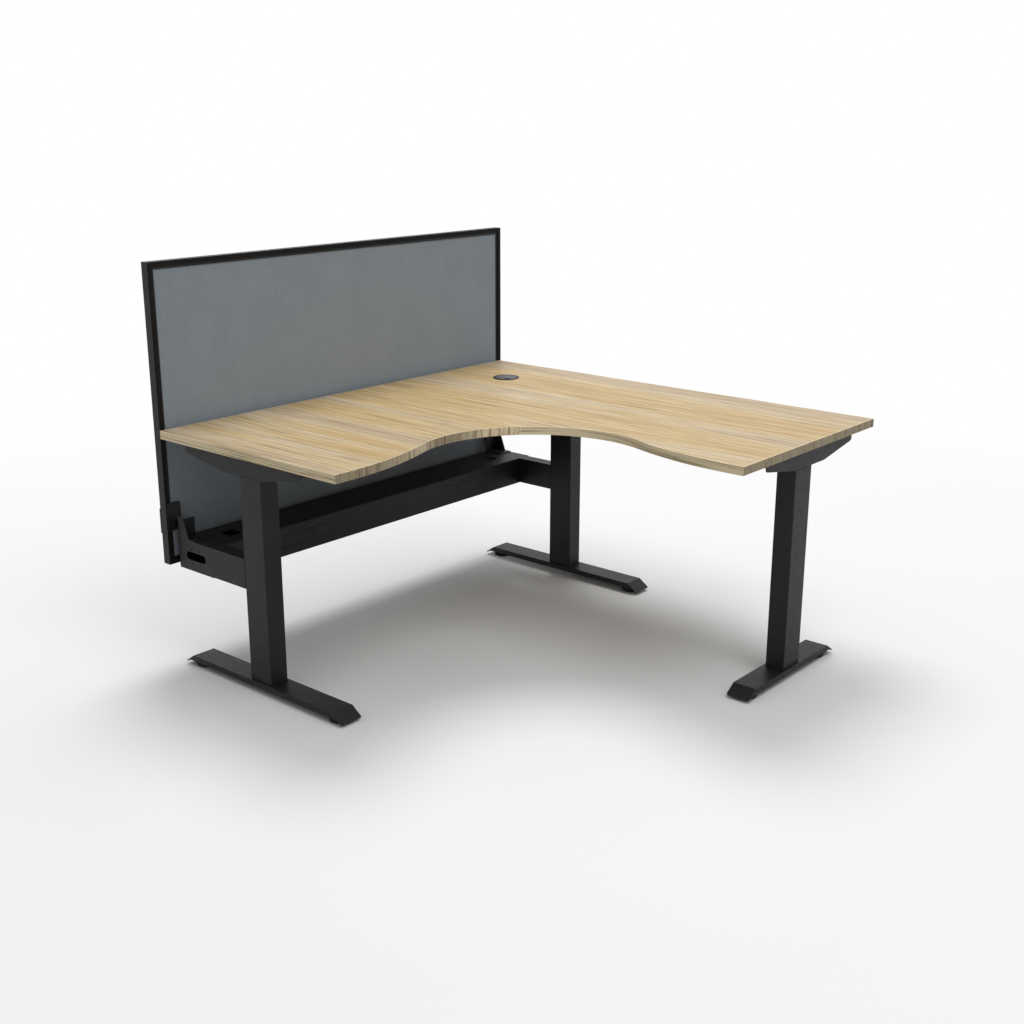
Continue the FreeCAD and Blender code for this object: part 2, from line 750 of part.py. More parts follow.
def build_tray():
    wall = "tray_sheet"
    rim = "tray_height - tray_sheet"
    profile = [
        ("0", "0"),
        ("tray_depth", "0"),
        ("tray_depth", rim),
        (f"tray_depth - {wall}", rim),
        (f"tray_depth - {wall}", wall),
        (wall, wall),
        (wall, rim),
        ("0", rim),
    ]
    trough = sheet_piece("trough", "XZ_Plane", [profile], "tray_inner",
                         spot("tray_setback", "tray_right + tray_sheet", "tray_bottom"))
    tools, plates = [], []
    for index, (centre, width) in enumerate(knockouts()):
        through = ("tray_front - tray_sheet - overrun", "tray_front + overrun")
        tools.append(knockout_slab(f"window_{index}", centre, width, "knockout_gap", through))
        plates.append(knockout_slab(f"knockout_{index}", centre, width, "0",
                                    ("tray_front - tray_sheet", "tray_front")))
    for leg in ARMS:
        for index, at in enumerate(arm_bolt_places(leg, "tray_front - tray_sheet - overrun")):
            tools.append(rod(f"trough_hole_{leg}_{index}", "bolt_diameter + 2 * bolt_fit",
                             "tray_sheet + 2 * overrun", at, "x"))
    node("cable_tray", cut("tray_cut", trough, tools))
    node("tray_knockouts", together("knockout_group", plates))

    cover = slab("cover", ("tray_setback", "tray_front"),
                 ("tray_right + tray_sheet", "tray_left - tray_sheet"), ("tray_top - tray_sheet", "tray_top"))
    middle = "tray_setback + tray_depth / 2"
    holes = []
    for index, centre in enumerate(("tray_right + lid_hole_end", "tray_left - lid_hole_end")):
        holes.append(slab(f"cover_hole_{index}", (f"{middle} - lid_hole / 2", f"{middle} + lid_hole / 2"),
                          (f"{centre} - lid_hole / 2", f"{centre} + lid_hole / 2"),
                          ("tray_top - tray_sheet - overrun", "tray_top + overrun")))
    for side in STANDS:
        for index, at in enumerate(stand_bolt_places(side, "tray_top - tray_sheet - overrun")):
            holes.append(rod(f"cover_bolt_hole_{side}_{index}", "small_bolt + 2 * bolt_fit",
                             "tray_sheet + 2 * overrun", at))
    node("tray_cover", cut("cover_cut", cover, holes))

    for side, start in (("corner", "tray_right"), ("left", "tray_left - tray_sheet")):
        node(f"tray_end_{side}", tray_end(side, start))


def tray_end(side, start):
    """An end plate with a long cable slot and four small holes about it."""
    middle = "tray_setback + tray_depth / 2"
    up = "(tray_bottom + tray_height / 2)"
    flat = "(slot_length - slot_height) / 2"
    blank = slab(f"end_blank_{side}", ("tray_setback", "tray_front"), (start, f"{start} + tray_sheet"),
                 ("tray_bottom", "tray_top"))
    through = (f"{start} - overrun", f"{start} + tray_sheet + overrun")
    depth = "tray_sheet + 2 * overrun"
    slot = [slab(f"end_slot_{side}", (f"{middle} - {flat}", f"{middle} + {flat}"), through,
                 (f"{up} - slot_height / 2", f"{up} + slot_height / 2"))]
    for sign in "+-":
        at = spot(f"{middle} {sign} {flat}", through[1], up)
        slot.append(rod(f"end_slot_{side}_{len(slot)}", "slot_height", depth, at, "y"))
    holes = [fuse(f"end_slot_{side}_whole", slot)]
    for along in "+-":
        for rise in "+-":
            at = spot(f"{middle} {along} end_hole_along", through[1], f"{up} {rise} end_hole_up")
            holes.append(rod(f"end_hole_{side}_{len(holes)}", "end_hole", depth, at, "y"))
    return cut(f"end_{side}", blank, holes)


def build_arm(leg):
    """A channel open below, with an end plate at the tray and one at the column."""
    line = LEGS[leg][0]
    outer_side = f"{line} + column_depth / 2"
    inner_side = f"{outer_side} - arm_width"
    low = "tray_bottom + arm_lift"
    blank = slab(f"arm_blank_{leg}", ("tray_front", "column_back"), (inner_side, outer_side),
                 (low, "tray_top"))
    tools = [slab(f"arm_inside_{leg}", ("tray_front + arm_sheet", "column_back - arm_sheet"),
                  (f"{inner_side} + arm_sheet", f"{outer_side} - arm_sheet"),
                  (f"{low} - overrun", "tray_top - arm_sheet"))]
    for end, start in (("tray", "tray_front - arm_sheet / 2"),
                       ("column", "column_back - arm_sheet * 3 / 2")):
        for index, at in enumerate(arm_bolt_places(leg, start)):
            tools.append(rod(f"arm_hole_{leg}_{end}_{index}", "bolt_diameter + 2 * bolt_fit",
                             "2 * arm_sheet", at, "x"))
    node(f"tray_arm_{leg}", cut(f"arm_{leg}", blank, [fuse(f"arm_{leg}_tools", tools)]))


def arm_fasteners():
    bolts, rivets = [], []
    for leg in ARMS:
        grip = "arm_sheet + tray_sheet + rivet_length"
        for index, at in enumerate(arm_bolt_places(leg, "tray_front + arm_sheet")):
            bolts.append(big_bolt(f"tray_bolt_{leg}_{index}", grip, at, "-x"))
        grip = "arm_sheet + column_wall + rivet_length"
        for index, at in enumerate(arm_bolt_places(leg, "column_back - arm_sheet")):
            bolts.append(big_bolt(f"column_bolt_{leg}_{index}", grip, at, "x"))
        for end, start in (("tray", "tray_front - tray_sheet - rivet_length"),
                           ("column", "column_back + column_wall")):
            for index, at in enumerate(arm_bolt_places(leg, start)):
                name = f"rivet_{leg}_{end}_{index}"
                blank = rod(f"{name}_blank", "rivet_diameter", "rivet_length", at, "x")
                shifted = (f"{at[0]} - overrun", at[1], at[2])
                bore = rod(f"{name}_bore", "bolt_diameter + 2 * bolt_fit", "rivet_length + 2 * overrun",
                           shifted, "x")
                rivets.append(cut(name, blank, [bore]))
    node("arm_bolts", together("arm_bolt_group", bolts))
    node("rivet_nuts", together("rivet_group", rivets))


# Screen

STANDS = ("left", "corner")


def screen_spot(along, up):
    """A point of the screen's face, from its corner end and its bottom, on its back plane."""
    return spot("screen_back", f"{along} - screen_overhang", f"screen_bottom + {up}")


def screen_block(name, margin, inset):
    """A block on the screen's middle plane, drawn in from the outline and from both faces."""
    return slab(name, (f"screen_back + {inset}", f"screen_front - ({inset})"),
                (f"{margin} - screen_overhang", f"screen_width - screen_overhang - ({margin})"),
                (f"screen_bottom + {margin}", f"screen_bottom + screen_height - ({margin})"))


def screen_ring(name):
    """The whole frame as one ring: outer band, stepped lip, and the groove that holds the panel."""
    band = screen_block(f"{name}_band", "0", "0")
    window = screen_block(f"{name}_window", "rail_face", "-overrun")
    lip = screen_block(f"{name}_lip", "rail_face / 2", "lip_step")
    opening = screen_block(f"{name}_opening", "rail_width", "-overrun")
    groove = screen_block(f"{name}_groove", "rail_width - groove_depth",
                          "(screen_thickness - groove_width) / 2")
    outer = cut(f"{name}_outer", band, [window])
    joined = fuse(f"{name}_blank", [outer, lip])
    return cut(f"{name}_ring", joined, [fuse(f"{name}_void", [opening, groove])])


def mitre_loops():
    """Outlines of the four rails, mitred where they meet, in the plane of the screen."""
    width, height, rail = "screen_width", "screen_height", "rail_width"
    return {
        "top": [("0", height), (rail, f"{height} - {rail}"),
                (f"{width} - {rail}", f"{height} - {rail}"), (width, height)],
        "bottom": [("0", "0"), (width, "0"), (f"{width} - {rail}", rail), (rail, rail)],
        "left": [(width, "0"), (width, height), (f"{width} - {rail}", f"{height} - {rail}"),
                 (f"{width} - {rail}", rail)],
        "corner": [("0", "0"), (rail, rail), (rail, f"{height} - {rail}"), ("0", height)],
    }


def build_screen():
    for side, loop in mitre_loops().items():
        flipped = [(f"-({across})", up) for across, up in loop]
        wedge = sheet_piece(f"mitre_{side}", "YZ_Plane", [flipped], "screen_thickness",
                            screen_spot("0", "0"))
        rail = doc.addObject("Part::Common", f"rail_{side}")
        rail.Base = screen_ring(f"frame_{side}")
        rail.Tool = wedge
        node(f"screen_rail_{side}", rail)

    front = ("screen_front - cloth_in - cloth_thickness", "screen_front - cloth_in")
    back = ("screen_back + cloth_in", "screen_back + cloth_in + cloth_thickness")
    layers = {"screen_cloth_front": front, "screen_core": (back[1], front[0]), "screen_cloth_back": back}
    for label, limits in layers.items():
        panel = slab(f"{label}_slab", limits,
                     ("panel_inset - screen_overhang", "screen_width - screen_overhang - panel_inset"),
                     ("screen_bottom + panel_inset", "screen_bottom + screen_height - panel_inset"))
        node(label, cut(f"{label}_cut", panel, clamp_holes(label, *limits)))


# Screen brackets

def stand_side(side):
    """The tray's end that a bracket stands at, and the sign of the way to the tray's middle."""
    return ("tray_left", "-") if side == "left" else ("tray_right", "+")


def stand_limits(side, outset, width):
    """Limits down the left wing of a piece that starts beyond the tray's end and runs inwards."""
    end = stand_side(side)[0]
    if side == "left":
        return f"{end} + {outset} - {width}", f"{end} + {outset}"
    return f"{end} - {outset}", f"{end} - {outset} + {width}"


def clamp_bolt_places(side, from_back):
    """Two bolts through the screen at one end of the tray, one over the other."""
    end, way = stand_side(side)
    low = "tray_top + clamp_bolt_low"
    return [spot(from_back, f"{end} {way} clamp_bolt_in", up) for up in (low, f"{low} + clamp_bolt_pitch")]


def clamp_holes(name, low, high, sides=STANDS):
    """Clearance for the screen's clamp bolts between two distances from the back edge."""
    holes = []
    for side in sides:
        for index, at in enumerate(clamp_bolt_places(side, f"{low} - overrun")):
            holes.append(rod(f"{name}_hole_{side}_{index}", "small_bolt + 2 * bolt_fit",
                             f"{high} - ({low}) + 2 * overrun", at, "x"))
    return holes


def stand_bolt_places(side, up):
    """Two bolts through a bracket's foot into the tray's cover."""
    end, way = stand_side(side)
    from_back = "stand_reach - stand_bolt_front"
    inner = "stand_width - stand_bolt_in"
    return [spot(from_back, f"{end} {way} ({inset})", up) for inset in ("stand_bolt_in", inner)]


def build_stand(side):
    """A folded bracket: foot on the tray, upright behind it and a sloping gusset at the tray's end."""
    across = stand_limits(side, "0", "stand_width")
    foot = slab(f"stand_foot_{side}", ("stand_back", "stand_reach"), across,
                ("tray_top", "tray_top + stand_sheet"))
    upright = slab(f"stand_upright_{side}", ("stand_back", "stand_back + stand_sheet"), across,
                   ("tray_top", "tray_top + upright_height"))
    slope = [
        ("0", "0"),
        ("gusset_reach - stand_back", "0"),
        ("gusset_top", "gusset_height"),
        ("0", "gusset_height"),
    ]
    start = stand_limits(side, "0", "stand_sheet")[0]
    gusset = sheet_piece(f"stand_gusset_{side}", "XZ_Plane", [slope], "stand_sheet",
                         spot("stand_back", start, "tray_top"))
    blank = fuse(f"stand_blank_{side}", [foot, upright, gusset])
    tools = clamp_holes(f"stand_{side}", "stand_back", "stand_back + stand_sheet", (side,))
    for index, at in enumerate(stand_bolt_places(side, "tray_top - overrun")):
        tools.append(rod(f"stand_foot_hole_{side}_{index}", "small_bolt + 2 * bolt_fit",
                         "stand_sheet + 2 * overrun", at))
    node(f"screen_bracket_{side}", cut(f"stand_{side}", blank, tools))


def clamp_loop(height, side):
    """Outline of a clamp plate with its upper inner corner rounded, as seen along X."""
    loop = [
        ("0", "0"),
        ("clamp_width", "0"),
        ("clamp_width", f"{height} - clamp_round", "clamp_round"),
        ("clamp_width - clamp_round", height),
        ("0", height),
    ]
    if side == "left":
        return loop
    return [(f"-({entry[0]})", entry[1], *(f"-({radius})" for radius in entry[2:])) for entry in loop]


def build_clamps():
    plates = {
        "front": ("screen_front", "clamp_lift", "clamp_height"),
        "rear": ("rear_plate", "rear_lift", "rear_height"),
    }
    for side in STANDS:
        outer = stand_limits(side, "clamp_overhang", "0")[0]
        for face, (from_back, lift, height) in plates.items():
            name = f"clamp_{face}_{side}"
            blank = sheet_piece(f"{name}_blank", "YZ_Plane", [clamp_loop(height, side)], "clamp_sheet",
                                spot(from_back, outer, f"tray_top + {lift}"))
            holes = clamp_holes(name, from_back, f"{from_back} + clamp_sheet", (side,))
            node(name, cut(f"{name}_cut", blank, holes))


def clamp_sleeves(name, diameter, low, high):
    """Rings on the clamp bolts between two distances from the back edge."""
    rings = []
    bores = clamp_holes(name, low, high)
    places = [at for side in STANDS for at in clamp_bolt_places(side, low)]
    for index, (at, bore) in enumerate(zip(places, bores)):
        blank = rod(f"{name}_blank_{index}", diameter, f"{high} - ({low})", at, "x")
        rings.append(cut(f"{name}_{index}", blank, [bore]))
    return rings


def screen_fasteners():
    front = "screen_front + clamp_sheet"
    spacers = clamp_sleeves("spacer", "spacer_diameter", front, "stand_back")
    node("clamp_spacers", together("spacer_group", spacers))
    washers = clamp_sleeves("front_washer", "washer_diameter", "screen_front - cloth_in", "screen_front")
    washers += clamp_sleeves("rear_washer", "washer_diameter", "screen_back - rear_standoff",
                             "screen_back + cloth_in")
    node("clamp_washers", together("washer_group", washers))

    head = "stand_back + stand_sheet"
    back = "rear_plate - small_head_height"
    bolts, nuts, stand_bolts = [], [], []
    bores = clamp_holes("clamp_nut", back, "rear_plate")
    for side in STANDS:
        for at in clamp_bolt_places(side, head):
            bolts.append(small_bolt(f"clamp_bolt_{len(bolts)}", f"{head} - ({back})", at, "-x"))
        for at in clamp_bolt_places(side, back):
            blank = hexagon(f"clamp_nut_blank_{len(nuts)}", "small_head", "small_head_height", at, "x")
            nuts.append(cut(f"clamp_nut_{len(nuts)}", blank, [bores[len(nuts)]]))
        for at in stand_bolt_places(side, "tray_top + stand_sheet"):
            name = f"stand_bolt_{len(stand_bolts)}"
            stand_bolts.append(small_bolt(name, "stand_sheet + 2 * tray_sheet", at, "-z"))
    node("clamp_bolts", together("clamp_bolt_group", bolts))
    node("clamp_nuts", together("clamp_nut_group", nuts))
    node("bracket_bolts", together("stand_bolt_group", stand_bolts))


build_worktop()
build_grommet()
end_plates, head_plates = [], []
for leg_name in LEGS:
    build_foot(leg_name)
    build_column(leg_name)
    build_bracket(leg_name)
    end_plates += column_end_plates(leg_name)
    head_plates.append(head_plate(leg_name))
node("column_end_plates", together("end_plate_group", end_plates))
node("bracket_head_plates", together("head_plate_group", head_plates))
leg_fasteners()
build_glides()
build_tray()
for leg_name in ARMS:
    build_arm(leg_name)
arm_fasteners()
build_screen()
for stand in STANDS:
    build_stand(stand)
build_clamps()
screen_fasteners()
doc.recompute()

for thing in doc.Objects:
    if "Invalid" in thing.State or "Error" in thing.State:
        raise RuntimeError(f"{thing.Label} failed: {thing.State}")
for piece in nodes:
    if piece.Shape.isNull() or not piece.Shape.isValid() or not piece.Shape.Solids:
        raise RuntimeError(f"{piece.Label} has no valid solid")

os.makedirs("parts", exist_ok=True)
for piece in nodes:
    piece.Shape.exportStep(f"parts/{piece.Label}.step")
    print(f"{piece.Label}: {len(piece.Shape.Solids)} solids, {piece.Shape.Volume / 1000:.1f} cm3")
print(len(nodes), "pieces")
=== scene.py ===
"""Looks of the corner workstation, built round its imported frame. Lengths are metres."""
import json
import math

import bmesh
import bpy
from mathutils import Matrix, Vector


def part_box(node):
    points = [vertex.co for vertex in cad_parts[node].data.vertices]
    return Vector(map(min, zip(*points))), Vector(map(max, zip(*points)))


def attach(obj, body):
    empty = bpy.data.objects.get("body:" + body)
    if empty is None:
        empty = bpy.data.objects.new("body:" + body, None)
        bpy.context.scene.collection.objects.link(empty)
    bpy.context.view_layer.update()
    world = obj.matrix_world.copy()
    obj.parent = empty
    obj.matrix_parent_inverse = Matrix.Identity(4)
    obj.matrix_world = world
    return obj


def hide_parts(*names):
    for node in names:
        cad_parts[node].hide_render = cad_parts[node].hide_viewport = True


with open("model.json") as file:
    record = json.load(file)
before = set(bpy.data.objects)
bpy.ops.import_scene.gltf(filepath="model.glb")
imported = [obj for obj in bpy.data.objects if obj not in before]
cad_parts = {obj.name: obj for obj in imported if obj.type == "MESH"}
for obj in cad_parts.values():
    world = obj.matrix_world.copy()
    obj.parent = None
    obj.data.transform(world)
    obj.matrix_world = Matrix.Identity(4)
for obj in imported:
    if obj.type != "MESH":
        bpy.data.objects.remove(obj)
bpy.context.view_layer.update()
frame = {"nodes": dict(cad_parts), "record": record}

# Node trees: most values of a noise lie between NOISE_LOW and NOISE_HIGH

NOISE_LOW = 0.3
NOISE_HIGH = 0.7
BEVEL_SAMPLES = 4
SHEEN_ROUGHNESS = 0.6


class Graph:
    """A node tree, with short ways to add the nodes that are used here."""

    def __init__(self, tree):
        self.tree = tree

    def add(self, kind, inputs=None, **settings):
        """A new node with its settings, and with inputs that are fed by name."""
        made = self.tree.nodes.new(kind)
        for name, value in settings.items():
            setattr(made, name, value)
        self.feed_all(made, inputs or {})
        return made

    def feed(self, socket, value):
        """Link a socket to an output, or set it to a plain value or colour."""
        if isinstance(value, bpy.types.NodeSocket):
            self.tree.links.new(value, socket)
        elif socket.type == "RGBA":
            socket.default_value = (*value, 1.0)
        else:
            socket.default_value = value

    def feed_all(self, node, inputs):
        for name, value in inputs.items():
            self.feed(node.inputs[name], value)

    def place(self):
        """The point on the surface, in the part's own frame."""
        return self.add("ShaderNodeTexCoord").outputs["Object"]

    def facing(self):
        """How far the surface faces along each axis, either way."""
        normal = self.add("ShaderNodeNewGeometry").outputs["True Normal"]
        return [self.math("ABSOLUTE", part) for part in self.split(normal)]

    def split(self, vector):
        return self.add("ShaderNodeSeparateXYZ", {"Vector": vector}).outputs

    def join(self, x, y, z):
        return self.add("ShaderNodeCombineXYZ", {"X": x, "Y": y, "Z": z}).outputs[0]

    def stretch(self, vector, scale, shift=(0, 0, 0)):
        """A vector with each part scaled, then shifted."""
        inputs = {"Vector": vector, "Scale": scale, "Location": shift}
        return self.add("ShaderNodeMapping", inputs).outputs[0]

    def noise(self, vector, scale=1.0, detail=2.0, roughness=0.5, distortion=0.0):
        inputs = {"Vector": vector, "Scale": scale, "Detail": detail, "Roughness": roughness,
                  "Distortion": distortion}
        return self.add("ShaderNodeTexNoise", inputs).outputs["Fac"]

    def math(self, operation, first, second=0.0, third=0.0, clamp=False):
        made = self.add("ShaderNodeMath", operation=operation, use_clamp=clamp)
        for socket, value in zip(made.inputs, (first, second, third)):
            self.feed(socket, value)
        return made.outputs[0]

    def reach(self, value, low, high, to_low=0.0, to_high=1.0):
        """A value taken from one range to another, held at its ends."""
        inputs = {"Value": value, "From Min": low, "From Max": high, "To Min": to_low, "To Max": to_high}
        return self.add("ShaderNodeMapRange", inputs).outputs[0]

    def vary(self, noise, low=0.0, high=1.0):
        """A noise spread over a range."""
        return self.reach(noise, NOISE_LOW, NOISE_HIGH, low, high)

    def ramp(self, factor, stops):
        """A colour from a row of (place, colour) stops."""
        made = self.add("ShaderNodeValToRGB", {"Fac": factor})
        elements = made.color_ramp.elements
        while len(elements) < len(stops):
            elements.new(1.0)
        for element, (place, colour) in zip(elements, stops):
            element.position = place
            element.color = (*colour, 1.0)
        return made.outputs["Color"]

    def blend(self, kind, factor, first, second):
        """A mixture of two colours, kind RGBA, or of two vectors, kind VECTOR."""
        made = self.add("ShaderNodeMix", {"Factor": factor}, data_type=kind)
        for name, value in (("A", first), ("B", second)):
            self.feed(next(item for item in made.inputs if item.name == name and item.type == kind), value)
        return next(item for item in made.outputs if item.type == kind)

    def mix(self, factor, first, second):
        return self.blend("RGBA", factor, first, second)

    def choose(self, factor, first, second):
        """The first vector where the factor is 0, and the second where it is 1."""
        return self.blend("VECTOR", factor, first, second)

    def stain(self, colour, pattern, low, high, most, tone):
        """A colour that takes on a tone as a pattern goes from low to high, up to a share of it."""
        return self.mix(self.reach(pattern, low, high, 0.0, most), colour, tone)

    def bump(self, height, distance, strength, normal=None):
        """A normal that follows a relief, over another normal where one is given."""
        made = self.add("ShaderNodeBump", {"Height": height, "Distance": distance, "Strength": strength})
        if normal is not None:
            self.feed(made.inputs["Normal"], normal)
        return made.outputs[0]

    def soft_edge(self, radius):
        """A normal that rounds the edges off by a small radius."""
        return self.add("ShaderNodeBevel", {"Radius": radius}, samples=BEVEL_SAMPLES).outputs[0]

    def seen(self):
        """1 for what the camera sees, straight or in a reflection, and 0 for light cast on other things."""
        path = self.add("ShaderNodeLightPath").outputs
        mirrored = self.math("MAXIMUM", path["Is Glossy Ray"], path["Is Transmission Ray"])
        return self.math("MAXIMUM", path["Is Camera Ray"], mirrored)


class Finish(Graph):
    """A new material with one shader."""

    def __init__(self, name):
        self.material = bpy.data.materials.new(name)
        self.material.use_nodes = True
        super().__init__(self.material.node_tree)
        self.tree.nodes.clear()
        self.output = self.add("ShaderNodeOutputMaterial")
        self.shader = self.add("ShaderNodeBsdfPrincipled")
        self.feed(self.output.inputs["Surface"], self.shader.outputs["BSDF"])

    def finish(self, colour, roughness, normal=None, metallic=0.0, specular=None, sheen=None):
        """Feed the shader, and give the material."""
        inputs = {"Base Color": colour, "Roughness": roughness, "Metallic": metallic}
        if normal is not None:
            inputs["Normal"] = normal
        if specular is not None:
            inputs["Specular IOR Level"] = specular
        if sheen is not None:
            inputs["Sheen Weight"] = sheen
            inputs["Sheen Roughness"] = SHEEN_ROUGHNESS
        self.feed_all(self.shader, inputs)
        return self.material


def linear(red, green, blue):
    """A colour given as it looks on screen, from 0 to 255, turned into the linear one."""
    def one(value):
        value /= 255
        return value / 12.92 if value <= 0.04045 else ((value + 0.055) / 1.055) ** 2.4
    return one(red), one(green), one(blue)


def grey(level):
    """A grey from its linear level."""
    return level, level, level


# Oak laminate: broad bands of colour, streaks and threads along the grain, and dark pores

OAK_BANDS = (
    (0.36, linear(186, 166, 136)),
    (0.46, linear(200, 180, 147)),
    (0.53, linear(200, 174, 125)),
    (0.62, linear(193, 164, 112)),
    (0.72, linear(201, 181, 147)),
)
OAK_DARK = linear(148, 124, 92)
OAK_LIGHT = linear(232, 217, 192)
OAK_THREAD = linear(142, 119, 88)
OAK_PORE = linear(140, 116, 82)
PORE_SHARE = 0.5
STREAK_RELIEF = 0.3


def oak_colour(graph, along):
    """Colour, relief and streaks of the oak, from a vector whose first part runs along the grain."""
    def grain(length, width, shift=(0, 0, 0), **settings):
        """Noise of so many spots to the metre along the grain and across it."""
        return graph.noise(graph.stretch(along, (length, width, width), shift), **settings)

    broad = grain(0.45, 7.5, detail=1.5, distortion=0.2)
    streak = grain(2.2, 120.0, (3.1, 0, 0), detail=4.0, roughness=0.62)
    thread = grain(5.0, 210.0, (0, 5.3, 0), detail=3.0, roughness=0.65)
    pores = graph.reach(grain(9.0, 620.0, (0, 0, 2.7), roughness=0.6), 0.60, 0.72)
    colour = graph.ramp(broad, OAK_BANDS)
    colour = graph.stain(colour, streak, 0.52, 0.65, 0.62, OAK_DARK)
    colour = graph.stain(colour, streak, 0.48, 0.36, 0.45, OAK_LIGHT)
    colour = graph.stain(colour, thread, 0.52, 0.64, 0.62, OAK_THREAD)
    colour = graph.mix(graph.math("MULTIPLY", pores, PORE_SHARE), colour, OAK_PORE)
    relief = graph.math("SUBTRACT", graph.math("MULTIPLY", streak, STREAK_RELIEF), pores)
    return colour, relief, streak


def oak_top():
    graph = Finish("oak_laminate")
    colour, relief, streak = oak_colour(graph, graph.place())
    roughness = graph.vary(streak, 0.40, 0.52)
    normal = graph.bump(relief, distance=0.00006, strength=0.6, normal=graph.soft_edge(radius=0.0006))
    return graph.finish(colour, roughness, normal, specular=0.16)


# Edge band of the oak: long grain along the front, short upright streaks round the ends

BAND_PALE = linear(255, 238, 198)
BAND_PALENESS = 0.82
BAND_STREAK = linear(150, 122, 86)
# Colour of the painted shade on the faces of the band that look along X
BAND_PAINTED_SHADE = linear(100, 88, 72)
LYING_FLAT = 0.8
GRAIN_SLANT = 0.02
GRAIN_SPREAD = 1.4
UPRIGHT_LENGTH = 3.0
UPRIGHT_SLANT = 0.35


def oak_edge():
    """Where the band faces along Y its grain follows the edge. Where it faces along X it shows the end
    grain in upright streaks, and is darkened there by painted shade. Both are paler than the top, with dark
    streaks laid over that."""
    graph = Finish("oak_edge")
    x, y, z = graph.split(graph.place())
    facing_x, facing_y, facing_z = graph.facing()
    across = graph.math("GREATER_THAN", facing_x, facing_y)
    flat = graph.math("GREATER_THAN", facing_z, LYING_FLAT)
    end_grain = graph.math("SUBTRACT", across, flat, clamp=True)
    slant = graph.math("MULTIPLY_ADD", x, GRAIN_SLANT, graph.math("MULTIPLY", z, GRAIN_SPREAD))
    long_way = graph.join(x, slant, z)
    height = graph.math("MULTIPLY", z, UPRIGHT_LENGTH)
    upright = graph.join(height, y, graph.math("MULTIPLY", y, UPRIGHT_SLANT))
    colour, relief, streak = oak_colour(graph, graph.choose(end_grain, long_way, upright))
    colour = graph.mix(BAND_PALENESS, colour, BAND_PALE)
    colour = graph.stain(colour, streak, 0.51, 0.60, 0.75, BAND_STREAK)
    # Painted shade: the band is darker where it faces along X, where less light falls
    colour = graph.stain(colour, facing_x, 0.90, 1.0, 0.66, BAND_PAINTED_SHADE)
    roughness = graph.vary(streak, 0.45, 0.58)
    normal = graph.bump(relief, distance=0.00005, strength=0.6)
    return graph.finish(colour, roughness, normal, specular=0.3)


# Powder coat: near-black and faintly clouded, with light specks and a fine orange-peel relief

STEEL_LOW = (0.0080, 0.0080, 0.0082)
STEEL_HIGH = (0.0110, 0.0110, 0.0112)
STEEL_SPECK = tuple(1.8 * part for part in STEEL_HIGH)


def coat(graph, rough_low, rough_high, edge):
    """Clouds, roughness and normal that the coats of the steel and of the screen frame share."""
    place = graph.place()
    cloud = graph.reach(graph.noise(place, scale=14.0, detail=3.0, roughness=0.55), 0.35, 0.65)
    roughness = graph.vary(graph.noise(place, scale=60.0, roughness=0.6), rough_low, rough_high)
    peel = graph.noise(place, scale=900.0)
    normal = graph.bump(peel, distance=0.00008, strength=0.5, normal=graph.soft_edge(edge))
    return cloud, roughness, normal


def steel_coat():
    graph = Finish("black_steel")
    cloud, roughness, normal = coat(graph, 0.42, 0.52, edge=0.0012)
    colour = graph.ramp(cloud, ((0.0, STEEL_LOW), (1.0, STEEL_HIGH)))
    speck = graph.noise(graph.place(), scale=2600.0, detail=1.0)
    colour = graph.stain(colour, speck, 0.62, 0.74, 0.35, STEEL_SPECK)
    return graph.finish(colour, roughness, normal, specular=0.27)


# Screen frame: the outer strip of each face has a rougher finish than the lip inside it, and a darker colour
# that is painted shade of a recessed gap

LIP_LOW = (0.0070, 0.0070, 0.0072)
LIP_HIGH = (0.0095, 0.0095, 0.0097)
# Darker colours of the outer strip: painted shade of a recessed gap
STRIP_PAINTED_SHADE_LOW = grey(0.0014)
STRIP_PAINTED_SHADE_HIGH = grey(0.0024)
STRIP_DEPTH = 0.001
STRIP_FACING = 0.7
STRIP_ROUGHER = 0.34


def frame_coat():
    graph = Finish("black_frame")
    cloud, roughness, normal = coat(graph, 0.38, 0.48, edge=0.0006)
    low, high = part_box("screen_rail_top")
    middle = (low.x + high.x) / 2
    half = (high.x - low.x) / 2
    depth = graph.math("ABSOLUTE", graph.math("SUBTRACT", graph.split(graph.place())[0], middle))
    outer = graph.math("GREATER_THAN", depth, half - STRIP_DEPTH)
    on_face = graph.math("GREATER_THAN", graph.facing()[0], STRIP_FACING)
    strip = graph.math("MULTIPLY", outer, on_face)
    lip = graph.ramp(cloud, ((0.0, LIP_LOW), (1.0, LIP_HIGH)))
    # Painted shade: the outer strip takes a darker colour in place of the shade of a recessed gap
    painted_gap_shade = graph.ramp(cloud, ((0.0, STRIP_PAINTED_SHADE_LOW), (1.0, STRIP_PAINTED_SHADE_HIGH)))
    roughness = graph.math("MULTIPLY_ADD", strip, STRIP_ROUGHER, roughness)
    return graph.finish(graph.mix(strip, lip, painted_gap_shade), roughness, normal, specular=0.22)


# Woven cloth: crossing yarns, slubs along them and a soft mottle

YARN = 0.0011
SLUBS_ALONG = 40.0
SLUBS_ACROSS = 900.0
SLUB_TONE = 1.1
WEAVE_TONE = 0.3
MOTTLE_TONE = 0.35
SLUB_RELIEF = 0.7
CLOTH_TONES = (
    (0.0, linear(134, 144, 154)),
    (0.35, linear(149, 159, 169)),
    (0.8, linear(161, 171, 181)),
)


